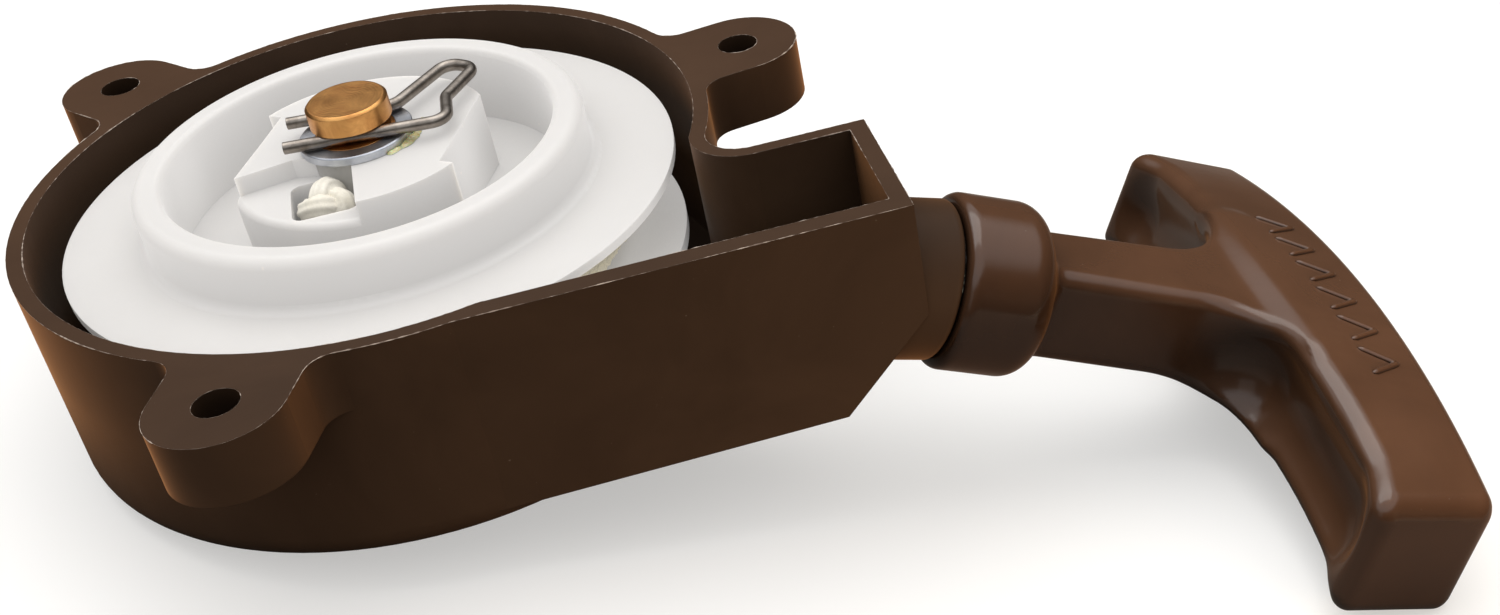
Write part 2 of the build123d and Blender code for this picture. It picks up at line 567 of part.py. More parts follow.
# --- handle_grip: cup that closes on the tube, neck and crossbar in one moulding ---
with BuildPart() as handle_grip:
    # Crossbar: its outline from above cut with its arched outline from behind.
    with BuildSketch(grip_plan(-2 * GRIP_HEIGHT)):
        with BuildLine():
            back_arc = ThreePointArc(
                (GRIP_BACK + GRIP_BACK_SWEEP, GRIP_HALF_INNER),
                (GRIP_BACK, 0),
                (GRIP_BACK + GRIP_BACK_SWEEP, -GRIP_HALF_INNER),
            )
            front_arc = ThreePointArc(
                (GRIP_FRONT + GRIP_FRONT_SWEEP, -GRIP_HALF_OUTER),
                (GRIP_FRONT, 0),
                (GRIP_FRONT + GRIP_FRONT_SWEEP, GRIP_HALF_OUTER),
            )
            Line(back_arc @ 1, front_arc @ 0)
            Line(front_arc @ 1, back_arc @ 0)
        make_face()
    extrude(amount=4 * GRIP_HEIGHT)
    with BuildSketch(handle_plane(0)):
        with BuildLine():
            half = GRIP_HEIGHT / 2
            top_arc = ThreePointArc(
                (-GRIP_HALF_INNER - 1, half - GRIP_DROP),
                (0, half),
                (GRIP_HALF_INNER + 1, half - GRIP_DROP),
            )
            foot_arc = ThreePointArc(
                (GRIP_HALF_INNER + 1, -half - GRIP_DROP),
                (0, -half),
                (-GRIP_HALF_INNER - 1, -half - GRIP_DROP),
            )
            Line(top_arc @ 1, foot_arc @ 0)
            Line(foot_arc @ 1, top_arc @ 0)
        make_face()
    extrude(amount=2 * GRIP_FRONT, mode=Mode.INTERSECT)
    fillet(handle_grip.edges(), 2.4)
    # Finger hollow in each wing, between the neck and the rounded end.
    for side in (1, -1):
        hollow_ends = []
        for reach in (HOLLOW_NEAR, HOLLOW_FAR):
            share = (reach / GRIP_HALF_INNER) ** 2
            floor = GRIP_BACK + GRIP_BACK_SWEEP * share + HOLLOW_DEPTH
            hollow_ends.append(handle_point(floor - HOLLOW_R, side * reach, -GRIP_DROP * share))
        with BuildLine() as hollow_path:
            Line(*hollow_ends)
        with BuildSketch(Plane(origin=hollow_path.line @ 0, z_dir=hollow_path.line % 0)):
            Circle(HOLLOW_R)
        sweep(mode=Mode.SUBTRACT)
        with Locations(*hollow_ends):
            Sphere(HOLLOW_R, mode=Mode.SUBTRACT)
    # Neck, flaring into the crossbar with a large radius on each side.
    with BuildSketch(grip_plan(-NECK_HEIGHT / 2)) as neck_plan:
        half_neck = NECK_WIDTH / 2
        half_root = NECK_ROOT_WIDTH / 2
        root = GRIP_BACK + 1.0
        with BuildLine():
            for side in (1, -1):
                flare_start = (root - GRIP_FLARE_R, side * half_root)
                flare_end = (root, side * (half_root + GRIP_FLARE_R))
                corner = (
                    root - GRIP_FLARE_R + GRIP_FLARE_R * sin(pi / 4),
                    side * (half_root + GRIP_FLARE_R - GRIP_FLARE_R * cos(pi / 4)),
                )
                Line((CUP_END - 4, side * half_neck), flare_start)
                ThreePointArc(flare_start, corner, flare_end)
                Line(flare_end, (root + 5, side * (half_root + GRIP_FLARE_R)))
            Line((CUP_END - 4, half_neck), (CUP_END - 4, -half_neck))
            Line((root + 5, half_root + GRIP_FLARE_R), (root + 5, -half_root - GRIP_FLARE_R))
        make_face()
    neck_body = extrude(amount=NECK_HEIGHT, mode=Mode.PRIVATE)
    neck_long = [e for e in neck_body.edges() if abs(e.tangent_at(0.5).dot(grip_up)) < 0.1]
    neck_round = [e for e in neck_long if (e.center() - tube_end).dot(pull_axis) < root]
    add(neck_body.fillet(2.0, [e for e in neck_round if abs((e.center() - tube_end).dot(grip_side)) > 1]))
    with BuildSketch(handle_plane(CUP_START)):
        Circle(CUP_R)
    cup_body = extrude(amount=CUP_END - CUP_START, mode=Mode.PRIVATE)
    cup_rims = cup_body.edges().filter_by(GeomType.CIRCLE).sort_by(Axis.X)
    add(cup_body.fillet(1.4, [cup_rims[0]]).fillet(CUP_SHOULDER_R, [cup_rims[-1]]))
    # Recess over the eyelet, rope hole along the neck, and the knot's pocket.
    with BuildSketch(handle_plane(CUP_START)):
        Circle(CUP_RECESS_R)
    extrude(amount=CUP_RECESS, mode=Mode.SUBTRACT)
    with BuildSketch(handle_plane(0)):
        Circle(ROPE_HOLE_R)
    extrude(amount=GRIP_FRONT, mode=Mode.SUBTRACT)
    with BuildSketch(handle_plane(GRIP_BACK + 3)):
        Circle(KNOT_POCKET_R)
    extrude(amount=GRIP_FRONT, mode=Mode.SUBTRACT)
handle_grip.part.label = "handle_grip"
export_step(handle_grip.part, "parts/handle_grip.step")

# --- knot_washer, handle_knot and handle_rope: how the rope is held in the grip ---
washer_seat = GRIP_BACK + 3
with BuildPart() as knot_washer:
    with BuildSketch(handle_plane(washer_seat)):
        Circle(KNOT_POCKET_R - 0.4)
        Circle(ROPE_HOLE_R - 0.1, mode=Mode.SUBTRACT)
    extrude(amount=1.0)
knot_washer.part.label = "knot_washer"
export_step(knot_washer.part, "parts/knot_washer.step")

with BuildPart() as handle_knot:
    with Locations(handle_point(washer_seat + 1.0 + KNOT_R * 0.9, 0, 0)):
        Sphere(KNOT_R)
    split(bisect_by=handle_plane(washer_seat + 1.05), keep=Keep.TOP)
handle_knot.part.label = "handle_knot"
export_step(handle_knot.part, "parts/handle_knot.step")

with BuildPart() as handle_rope:
    with BuildSketch(handle_plane(CUP_START + CUP_RECESS)):
        Circle(ROPE_R)
    extrude(amount=washer_seat + 1.0 - CUP_START - CUP_RECESS)
handle_rope.part.label = "handle_rope"
export_step(handle_rope.part, "parts/handle_rope.step")

# --- rope_run: the length between eyelet and handle, which pays out as the handle is pulled ---
with BuildPart() as rope_run:
    with BuildSketch(handle_plane(EYELET_FLANGE)):
        Circle(ROPE_R)
    extrude(amount=CUP_START + CUP_RECESS - EYELET_FLANGE)
rope_run.part.label = "rope_run"
export_step(rope_run.part, "parts/rope_run.step")
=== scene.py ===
"""Looks of a small engine's recoil starter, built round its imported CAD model, in metres."""

import json
import math

import bpy
import numpy as np
from mathutils import Matrix, Vector, noise


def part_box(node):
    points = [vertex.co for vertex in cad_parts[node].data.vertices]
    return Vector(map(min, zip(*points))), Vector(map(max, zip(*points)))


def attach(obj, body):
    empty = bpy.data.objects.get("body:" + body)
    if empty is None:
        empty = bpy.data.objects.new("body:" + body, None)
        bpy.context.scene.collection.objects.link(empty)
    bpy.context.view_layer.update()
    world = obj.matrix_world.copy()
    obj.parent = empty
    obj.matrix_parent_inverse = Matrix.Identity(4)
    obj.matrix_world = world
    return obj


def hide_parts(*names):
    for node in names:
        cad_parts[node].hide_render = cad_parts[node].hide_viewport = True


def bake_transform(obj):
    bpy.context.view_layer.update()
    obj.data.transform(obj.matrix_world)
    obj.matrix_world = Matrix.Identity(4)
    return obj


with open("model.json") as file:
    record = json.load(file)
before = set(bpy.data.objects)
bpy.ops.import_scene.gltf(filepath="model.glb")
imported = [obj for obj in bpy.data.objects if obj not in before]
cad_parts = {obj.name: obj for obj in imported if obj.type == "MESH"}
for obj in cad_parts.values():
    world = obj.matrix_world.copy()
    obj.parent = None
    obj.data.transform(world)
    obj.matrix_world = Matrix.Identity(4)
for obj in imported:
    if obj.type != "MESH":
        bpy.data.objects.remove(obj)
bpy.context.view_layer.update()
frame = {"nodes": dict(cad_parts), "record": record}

MM = 0.001
nodes = frame["nodes"]
joint_axis = {j["name"]: Vector(j["axis"]) for j in frame["record"]["behaviour"]["joints"]}

# --- Directions and places read from the frame ---
pull = joint_axis["handle_pull"].normalized()
grip_side = Vector((0, 0, 1)).cross(pull).normalized()
grip_up = pull.cross(grip_side).normalized()


def centre_of(node):
    low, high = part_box(node)
    return (low + high) / 2


rope_run_centre = centre_of("rope_run")
RUN_CENTRE_REACH = 2.8 * MM
tube_end = rope_run_centre - pull * RUN_CENTRE_REACH
ROPE_R = 1.6 * MM


# --- Shader helpers ---
class Finish:
    """A Principled material whose colour, roughness and bump come from nodes in the row frame's metres."""

    def __init__(self, name, roughness, metallic=0.0, specular=0.5):
        self.material = bpy.data.materials.new(name)
        self.material.use_nodes = True
        self.tree = self.material.node_tree
        self.shader = self.tree.nodes["Principled BSDF"]
        self.shader.inputs["Roughness"].default_value = roughness
        self.shader.inputs["Metallic"].default_value = metallic
        self.shader.inputs["Specular IOR Level"].default_value = specular
        self.place = self.tree.nodes.new("ShaderNodeTexCoord").outputs["Object"]
        self.normal = None

    def node(self, kind, values=None, **settings):
        made = self.tree.nodes.new("ShaderNode" + kind)
        for key, value in settings.items():
            setattr(made, key, value)
        for key, value in (values or {}).items():
            if isinstance(value, bpy.types.NodeSocket):
                self.tree.links.new(value, made.inputs[key])
            else:
                made.inputs[key].default_value = value
        return made

    def stretch(self, scale):
        """The row frame's coordinates, scaled apart along X, Y and Z."""
        return self.node("Mapping", {"Vector": self.place, "Scale": scale}).outputs["Vector"]

    def noise(self, scale, detail=3.0, rough=0.55, vector=None, distortion=0.0):
        values = {
            "Vector": vector or self.place,
            "Scale": scale,
            "Detail": detail,
            "Roughness": rough,
            "Distortion": distortion,
        }
        return self.node("TexNoise", values).outputs["Fac"]

    def ramp(self, factor, *stops):
        made = self.node("ValToRGB", {"Fac": factor})
        band = made.color_ramp
        while len(band.elements) < len(stops):
            band.elements.new(0.5)
        for element, (position, colour) in zip(band.elements, stops):
            element.position = position
            value = colour if isinstance(colour, tuple) else (colour,) * 3
            element.color = (*value, 1.0)
        return made.outputs["Color"]

    def mix(self, factor, first, second, blend="MIX"):
        made = self.node("Mix", {0: factor}, data_type="RGBA", blend_type=blend)
        for socket, value in ((made.inputs[6], first), (made.inputs[7], second)):
            if isinstance(value, bpy.types.NodeSocket):
                self.tree.links.new(value, socket)
            else:
                socket.default_value = (*value, 1.0)
        return made.outputs[2]

    def tone(self, colour, share):
        """A colour made lighter or darker by a share."""
        return self.mix(1.0, colour, (share, share, share), "MULTIPLY")

    def math(self, operation, first, second=0.0, clamp=False):
        return self.node("Math", {0: first, 1: second}, operation=operation, use_clamp=clamp).outputs[0]

    def colour(self, value):
        if isinstance(value, bpy.types.NodeSocket):
            self.tree.links.new(value, self.shader.inputs["Base Color"])
        else:
            self.shader.inputs["Base Color"].default_value = (*value, 1.0)
        return self

    def glow(self, colour, strength):
        self.shader.inputs["Emission Color"].default_value = (*colour, 1.0)
        if isinstance(strength, bpy.types.NodeSocket):
            self.tree.links.new(strength, self.shader.inputs["Emission Strength"])
        else:
            self.shader.inputs["Emission Strength"].default_value = strength
        return self

    def rough(self, factor, low, high):
        spread = self.node("MapRange", {"Value": factor, "To Min": low, "To Max": high}).outputs["Result"]
        self.tree.links.new(spread, self.shader.inputs["Roughness"])
        return self

    def bump(self, factor, height, strength=1.0):
        """Adds relief of a height in metres, on top of any already there."""
        values = {"Height": factor, "Distance": height, "Strength": strength}
        if self.normal is not None:
            values["Normal"] = self.normal
        self.normal = self.node("Bump", values).outputs["Normal"]
        self.tree.links.new(self.normal, self.shader.inputs["Normal"])
        return self

    def soften(self, radius):
        """Rounds sharp edges a little, as a mould does. It comes before any bump."""
        self.normal = self.node("Bevel", {"Radius": radius}, samples=6).outputs["Normal"]
        self.tree.links.new(self.normal, self.shader.inputs["Normal"])
        return self


def paint(obj, finish):
    obj.data.materials.clear()
    obj.data.materials.append(finish.material)


# --- Materials ---
def moulded_brown(name, base, roughness, specular, gloss_wave, glow, painted_top_tone, painted_side_tone):
    """Dark brown plastic with flow clouds, handling marks and pinhead specks, with painted shade in its
    corners.

    Its outer edges get a painted warm rim light and a weak glow when seen at a low angle.
    """
    made = Finish(name, roughness, specular=specular)
    clouds = made.noise(38.0, 4.0, 0.6, distortion=0.6)
    dark = tuple(c * 0.82 for c in base)
    light = tuple(c * 1.15 for c in base)
    body = made.ramp(clouds, (0.32, dark), (0.68, light))
    specks = made.ramp(made.noise(1900.0, 1.0, 0.4), (0.815, 0.0), (0.85, 1.0))
    tan = (0.16, 0.11, 0.08)
    body = made.mix(specks, body, tan)
    # Painted light and shade: faces turned up and upright faces each get their own tone of the colour.
    facing_up = made.node("SeparateXYZ", {"Vector": made.node("NewGeometry").outputs["Normal"]}).outputs["Z"]
    upward = made.node("MapRange", {"Value": facing_up, "From Min": 0.2, "From Max": 0.85}).outputs["Result"]
    body = made.mix(upward, made.tone(body, painted_side_tone), made.tone(body, painted_top_tone))
    # Painted shade: the colour darkens where ambient occlusion finds corners and recesses.
    openness = made.node("AmbientOcclusion", {"Distance": 0.018}, samples=8).outputs["AO"]
    body = made.mix(1.0, body, made.ramp(openness, (0.2, 0.30), (0.8, 1.0)), "MULTIPLY")
    # Painted light: a warm rim colour and a weak glow on outer edges seen at a low angle, less on faces
    # turned up and in corners.
    grazing = made.node("LayerWeight", {"Blend": 0.5}).outputs["Facing"]
    upright = made.math("SUBTRACT", 1.0, made.math("MULTIPLY", upward, 0.75))
    side_glow = made.math("MULTIPLY", upright, glow)
    outer_edge = made.math("MULTIPLY", made.math("POWER", openness, 4.0), side_glow)
    painted_rim_light = made.math("MULTIPLY", made.math("POWER", grazing, 3.5), outer_edge)
    body = made.mix(painted_rim_light, body, (0.52, 0.22, 0.085))
    made.colour(body)
    edge_strength = made.math("MULTIPLY", outer_edge, 0.22)
    painted_edge_glow = made.math("MULTIPLY", made.math("POWER", grazing, 6.0), edge_strength)
    made.glow((0.95, 0.42, 0.15), painted_edge_glow)
    marks = made.noise(90.0, 5.0, 0.65, made.stretch((1.0, 1.0, 0.35)))
    made.rough(marks, roughness - 0.09, roughness + 0.12)
    made.soften(0.00022)
    made.bump(made.noise(520.0, 3.0, 0.6), 0.00004, 0.35)
    made.bump(made.noise(gloss_wave, 1.0, 0.5), 0.0006, 0.10)
    return made


housing_finish = moulded_brown("HousingPlastic", (0.074, 0.041, 0.0235), 0.50, 0.09, 60.0, 1.0, 0.58, 0.80)
handle_finish = moulded_brown("HandlePlastic", (0.108, 0.051, 0.027), 0.15, 0.55, 45.0, 0.35, 0.84, 0.30)

reel_finish = Finish("ReelNylon", 0.42, specular=0.45)
nylon_cloud = reel_finish.noise(30.0, 3.0, 0.5, distortion=0.4)
nylon = reel_finish.ramp(nylon_cloud, (0.3, (0.175, 0.170, 0.162)), (0.7, (0.200, 0.194, 0.186)))
dirt = reel_finish.ramp(reel_finish.noise(900.0, 0.0, 0.0), (0.895, 0.0), (0.91, 0.6))
nylon = reel_finish.mix(dirt, nylon, (0.30, 0.26, 0.22))
reel_finish.colour(nylon)
reel_finish.rough(reel_finish.noise(140.0, 4.0, 0.6), 0.34, 0.52)
reel_finish.soften(0.0003)
reel_finish.bump(reel_finish.noise(260.0, 2.0, 0.5), 0.00005, 0.4)
reel_finish.shader.inputs["Subsurface Weight"].default_value = 0.6
reel_finish.shader.inputs["Subsurface Radius"].default_value = (1.0, 0.9, 0.75)
reel_finish.shader.inputs["Subsurface Scale"].default_value = 0.0035
# A weak painted glow keeps the nylon's shaded faces pale; it is weaker where ambient occlusion finds the
# nylon enclosed, so faces deep inside the housing stay darker.
openness = reel_finish.node("AmbientOcclusion", {"Distance": 0.012}, samples=16).outputs["AO"]
painted_fill_glow = reel_finish.math("MULTIPLY", reel_finish.math("POWER", openness, 0.55), 0.61)
reel_finish.glow((1.0, 0.975, 0.955), painted_fill_glow)


def turned(name, base, tint, roughness, pitch):
    """Lathe-turned metal: fine rings about the post's axis and a little tarnish."""
    made = Finish(name, roughness, metallic=1.0)
    flat = made.node("VectorMath", {0: made.place, 1: (1.0, 1.0, 0.0)}, operation="MULTIPLY").outputs[0]
    reach = made.node("VectorMath", {0: flat}, operation="LENGTH").outputs["Value"]
    rings = made.math("SINE", made.math("MULTIPLY", reach, 2 * math.pi / pitch))
    uneven = made.noise(420.0, 4.0, 0.6)
    body = made.ramp(made.noise(260.0, 4.0, 0.7, distortion=1.0), (0.32, tint), (0.66, base))
    made.colour(body)
    made.rough(uneven, roughness - 0.07, roughness + 0.14)
    made.soften(0.0001)
    made.bump(made.math("ADD", rings, uneven), 0.000012, 0.5)
    return made


brass_finish = turned("TurnedBrass", (0.86, 0.45, 0.150), (0.60, 0.26, 0.08), 0.30, 0.00042)

bush_finish = Finish("BushAcetal", 0.45, specular=0.35)
bush_cloud = bush_finish.noise(160.0, 3.0)
bush_finish.colour(bush_finish.ramp(bush_cloud, (0.3, (0.50, 0.495, 0.48)), (0.7, (0.60, 0.595, 0.58))))
bush_finish.soften(0.0001)
bush_finish.bump(bush_finish.noise(500.0, 2.0), 0.00003, 0.4)


def steel(name, base, tint, roughness, scale=300.0):
    """Cold-worked steel with uneven tarnish."""
    made = Finish(name, roughness, metallic=1.0)
    spots = made.noise(scale, 5.0, 0.65, distortion=0.5)
    made.colour(made.ramp(spots, (0.34, tint), (0.62, base)))
    made.rough(made.noise(scale * 2.2, 4.0, 0.6), roughness - 0.08, roughness + 0.16)
    made.soften(0.00008)
    made.bump(made.noise(scale * 3.0, 3.0, 0.6), 0.00002, 0.4)
    return made


zinc_finish = steel("ZincSteel", (0.62, 0.64, 0.68), (0.44, 0.47, 0.53), 0.30)
wire_finish = steel("ClipWire", (0.36, 0.32, 0.28), (0.20, 0.17, 0.145), 0.34, 520.0)
spring_finish = steel("SpringSteel", (0.24, 0.26, 0.31), (0.15, 0.14, 0.14), 0.32)


def cord(name, light, dark, glow):
    """Braided cord: soft cream fibre with uneven grey-yellow grime, painted shade in the low places of its
    fine fibre relief, and a weak glow as painted light.
    """
    made = Finish(name, 0.78, specular=0.25)
    fibre = made.noise(1500.0, 3.0, 0.7)
    grime = made.noise(130.0, 4.0, 0.6, distortion=0.8)
    body = made.ramp(grime, (0.35, dark), (0.62, light))
    # Painted shade: the fibre relief's low places, which the bump below sinks, are darkened.
    body = made.mix(made.ramp(fibre, (0.35, 0.22), (0.6, 0.0)), body, tuple(c * 0.55 for c in light))
    made.colour(body)
    made.shader.inputs["Sheen Weight"].default_value = 0.15
    # Painted light: a weak glow keeps the cord pale where it lies in shade.
    made.glow(light, glow)
    made.bump(fibre, 0.00012, 0.6)
    return made


rope_finish = cord("RopeCord", (0.74, 0.69, 0.55), (0.52, 0.48, 0.36), 0.30)
knot_finish = cord("KnotCord", (0.86, 0.83, 0.75), (0.70, 0.66, 0.56), 0.05)

burr_finish = Finish("MouldBurr", 0.6, specular=0.3)
burr_cloud = burr_finish.noise(700.0, 2.0)
burr_finish.colour(burr_finish.ramp(burr_cloud, (0.4, (0.16, 0.115, 0.09)), (0.62, (0.46, 0.38, 0.32))))

grease_finish = Finish("OldGrease", 0.22, specular=0.5)
grease_cloud = grease_finish.noise(700.0, 3.0)
grease_finish.colour(grease_finish.ramp(grease_cloud, (0.35, (0.46, 0.40, 0.17)), (0.65, (0.66, 0.61, 0.36))))
grease_finish.bump(grease_finish.noise(900.0, 2.0), 0.0001, 0.5)
grease_finish.shader.inputs["Subsurface Weight"].default_value = 0.4
grease_finish.shader.inputs["Subsurface Scale"].default_value = 0.001

CAD_FINISHES = {
    "starter_housing": housing_finish,
    "outlet_eyelet": zinc_finish,
    "centre_post": brass_finish,
    "top_washer": zinc_finish,
    "thrust_washer": zinc_finish,
    "retaining_clip": wire_finish,
    "spring_case": zinc_finish,
    "recoil_spring": spring_finish,
    "spring_cover": zinc_finish,
    "cover_screws": zinc_finish,
    "rope_reel": reel_finish,
    "reel_bush": bush_finish,
    "handle_grip": handle_finish,
    "knot_washer": zinc_finish,
}
for node_name, finish in CAD_FINISHES.items():
    paint(nodes[node_name], finish)


# --- Mesh helpers ---
def make_object(name, vertices, faces, finish, slot_name, smooth=True):
    mesh = bpy.data.meshes.new(name)
    mesh.from_pydata([tuple(v) for v in vertices], [], [tuple(f) for f in faces])
    mesh.polygons.foreach_set("use_smooth", [smooth] * len(mesh.polygons))
    mesh.update()
    made = bpy.data.objects.new(name, mesh)
    bpy.context.scene.collection.objects.link(made)
    paint(made, finish)
    return made


def join(parts):
    """One mesh's vertices and faces from those of several parts."""
    vertices, faces = [], []
    for part_vertices, part_faces in parts:
        shift = len(vertices)
        vertices.extend(part_vertices)
        faces.extend(tuple(v + shift for v in face) for face in part_faces)
    return vertices, faces


def resample(points, step):
    """The same polyline with points an even distance apart."""
    points = np.asarray(points, float)
    gaps = np.linalg.norm(np.diff(points, axis=0), axis=1)
    along = np.concatenate([[0.0], np.cumsum(gaps)])
    count = max(3, int(round(along[-1] / step)) + 1)
    places = np.linspace(0.0, along[-1], count)
    return np.stack([np.interp(places, along, points[:, i]) for i in range(3)], axis=1)


def carried_frames(path):
    """Tangent, side and up at each point of a path, carried along it without twist."""
    tangent = np.gradient(path, axis=0)
    tangent /= np.linalg.norm(tangent, axis=1)[:, None]
    side = np.zeros_like(path)
    first = np.cross(tangent[0], (0.0, 0.0, 1.0))
    if np.linalg.norm(first) < 0.2:
        first = np.cross(tangent[0], (0.0, 1.0, 0.0))
    side[0] = first / np.linalg.norm(first)
    for i in range(1, len(path)):
        turned_side = side[i - 1] - tangent[i] * np.dot(side[i - 1], tangent[i])
        side[i] = turned_side / np.linalg.norm(turned_side)
    return tangent, side, np.cross(tangent, side)


def tube(path, wide, tall, corners, side, up, closed=False):
    """Vertices and faces of a tube of elliptical section along a path; wide and tall may vary."""
    count = len(path)
    wide = np.broadcast_to(wide, count)
    tall = np.broadcast_to(tall, count)
    vertices, faces = [], []
    for i in range(count):
        for c in range(corners):
            a = 2 * math.pi * c / corners
            vertices.append(path[i] + side[i] * (wide[i] * math.cos(a)) + up[i] * (tall[i] * math.sin(a)))
    rings = count if closed else count - 1
    for i in range(rings):
        j = (i + 1) % count
        for c in range(corners):
            d = (c + 1) % corners
            faces.append((i * corners + c, i * corners + d, j * corners + d, j * corners + c))
    if not closed:
        faces.append(tuple(range(corners))[::-1])
        faces.append(tuple((count - 1) * corners + c for c in range(corners)))
    return vertices, faces


def braid_parts(path, radius, pitch, strands=8, closed=False, corners=6):
    """A braided cord along a path: half the strands turn each way, each passing over and under."""
    _, side, up = carried_frames(path)
    gaps = np.linalg.norm(np.diff(path, axis=0), axis=1)
    along = np.concatenate([[0.0], np.cumsum(gaps)])
    if closed:
        total = along[-1] + np.linalg.norm(path[0] - path[-1])
        pitch = total / max(1, round(total / pitch))
    half = strands // 2
    parts = []
    for k in range(strands):
        hand = 1 if k % 2 == 0 else -1
        turn = 2 * math.pi * (k // 2) / half + hand * 2 * math.pi * along / pitch
        lift = hand * np.cos(half * 2 * math.pi * along / pitch)
        reach = radius * (0.70 + 0.10 * lift)
        out = side * np.cos(turn)[:, None] + up * np.sin(turn)[:, None]
        spine = path + out * reach[:, None]
        forward = np.gradient(spine, axis=0)
        forward /= np.linalg.norm(forward, axis=1)[:, None]
        across = np.cross(forward, out)
        across /= np.linalg.norm(across, axis=1)[:, None]
        parts.append(tube(spine, radius * 0.40, radius * 0.205, corners, across, out, closed))
    parts.append(tube(path, radius * 0.66, radius * 0.66, 10, side, up, closed))
    return join(parts)


def braid(name, path, radius, finish, slot_name, step, pitch=4.4, closed=False):
    """A braided cord as one object; the pitch is in radii, the step in metres."""
    path = resample(path, step)
    if closed:
        path = path[:-1]
    vertices, faces = braid_parts(path, radius, pitch * radius, closed=closed)
    return make_object(name, vertices, faces, finish, slot_name)


# --- Rope wound on the reel: an outer layer of three turns, an inner one, and one turn on top ---
coil_low, coil_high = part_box("rope_coil")
coil_mid_z = (coil_low.z + coil_high.z) / 2
layer_r = coil_high.x - ROPE_R
TURNS = 3
STEPS_A_TURN = 220
PACKED_R = ROPE_R * 0.97
INNER_SHARE = 0.90
coil_path = []
for i in range(TURNS * STEPS_A_TURN + 1):
    turn = i / STEPS_A_TURN
    a = math.radians(90) + 2 * math.pi * turn
    z = coil_mid_z + (turn - TURNS / 2) * 2 * PACKED_R
    wander = 0.00022 * noise.noise(Vector((turn * 5.0, 3.1, 0.0)))
    coil_path.append((layer_r * math.cos(a), layer_r * math.sin(a), z + wander))
rope_coil = braid("rope_coil_braid", coil_path, PACKED_R, rope_finish, "rope", 0.0007)
top_turn_r = layer_r + 5.2 * MM
top_turn_z = coil_mid_z + 3.55 * MM
top_path = []
for i in range(STEPS_A_TURN):
    a = 2 * math.pi * i / STEPS_A_TURN
    wander = 0.00012 * noise.noise(Vector((i * 0.05, 8.3, 0.0)))
    drop = 0.00008 * math.sin(a * 0.5)
    reach = top_turn_r + wander
    top_path.append((reach * math.cos(a), reach * math.sin(a), top_turn_z + drop))
top_loop = top_path + top_path[:1]
rope_top_turn = braid("rope_coil_top_turn", top_loop, PACKED_R, rope_finish, "rope", 0.0006, closed=True)
inner_path = resample([(x * INNER_SHARE, y * INNER_SHARE, z) for x, y, z in coil_path], 0.001)
inner_parts = braid_parts(inner_path, PACKED_R, 4.4 * ROPE_R)
rope_coil_inner = make_object("rope_coil_inner", *inner_parts, rope_finish, "rope")
for piece in (rope_coil, rope_coil_inner, rope_top_turn):
    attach(piece, "reel")
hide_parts("rope_coil")


# --- Old grease squeezed out between the washer and the hub ---
def smear(middle, long, wide, turn, height, seed):
    """A flat-edged drop with an uneven outline, as one closed mesh."""
    rings, corners = 5, 36
    ca, sa = math.cos(turn), math.sin(turn)
    vertices = []
    for under in (False, True):
        for ring in range(1, rings + 1):
            share = ring / rings
            for c in range(corners):
                a = 2 * math.pi * c / corners
                edge = 1.0 + 0.35 * noise.noise(Vector((math.cos(a) * 1.4, math.sin(a) * 1.4, seed)))
                x, y = long * edge * share * math.cos(a), wide * edge * share * math.sin(a)
                lump = 1.0 + 0.5 * noise.noise(Vector((x, y, 0.0)) * 1800.0)
                z = 0.0 if under else height * math.sqrt(max(0.0, 1 - share**2)) * lump
                vertices.append((middle[0] + x * ca - y * sa, middle[1] + x * sa + y * ca, middle[2] + z))
    crown = len(vertices)
    vertices.append((middle[0], middle[1], middle[2] + height))
    vertices.append(tuple(middle))
    faces = []
    for layer in (0, 1):
        start = layer * rings * corners
        for c in range(corners):
            d = (c + 1) % corners
            first = (crown + layer, start + c, start + d)
            faces.append(first if layer == 0 else first[::-1])
            for ring in range(rings - 1):
                low, high = start + ring * corners, start + (ring + 1) * corners
                quad = (low + c, high + c, high + d, low + d)
                faces.append(quad if layer == 0 else quad[::-1])
    rim_top, rim_foot = (rings - 1) * corners, (2 * rings - 1) * corners
    for c in range(corners):
        d = (c + 1) % corners
        faces.append((rim_top + c, rim_foot + c, rim_foot + d, rim_top + d))
    return vertices, faces


hub_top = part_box("top_washer")[0].z
SUNK = 0.02 * MM
# Middle X and Y, half length, half width and height in mm, with the turn in degrees before the height.
SMEARS = (
    ((6.6, -4.2), 2.1, 0.75, 55.0, 0.42),
    ((7.7, -1.9), 1.5, 0.65, 75.0, 0.50),
    ((4.6, -6.1), 1.3, 0.50, 35.0, 0.30),
    ((8.6, 0.6), 0.8, 0.45, 95.0, 0.30),
)
smear_parts = []
for seed, ((x, y), long, wide, turn, height) in enumerate(SMEARS):
    spot = (x * MM, y * MM, hub_top - SUNK)
    smear_parts.append(smear(spot, long * MM, wide * MM, math.radians(turn), height * MM, 3.7 * seed))
grease = make_object("grease_smears", *join(smear_parts), grease_finish, None)
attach(grease, "reel")

# --- Rope from the reel through the box to the eyelet ---
def bezier(p0, p1, p2, p3, count):
    """Points along a cubic curve."""
    t = np.linspace(0.0, 1.0, count)[:, None]
    return (1 - t) ** 3 * p0 + 3 * (1 - t) ** 2 * t * p1 + 3 * (1 - t) * t**2 * p2 + t**3 * p3


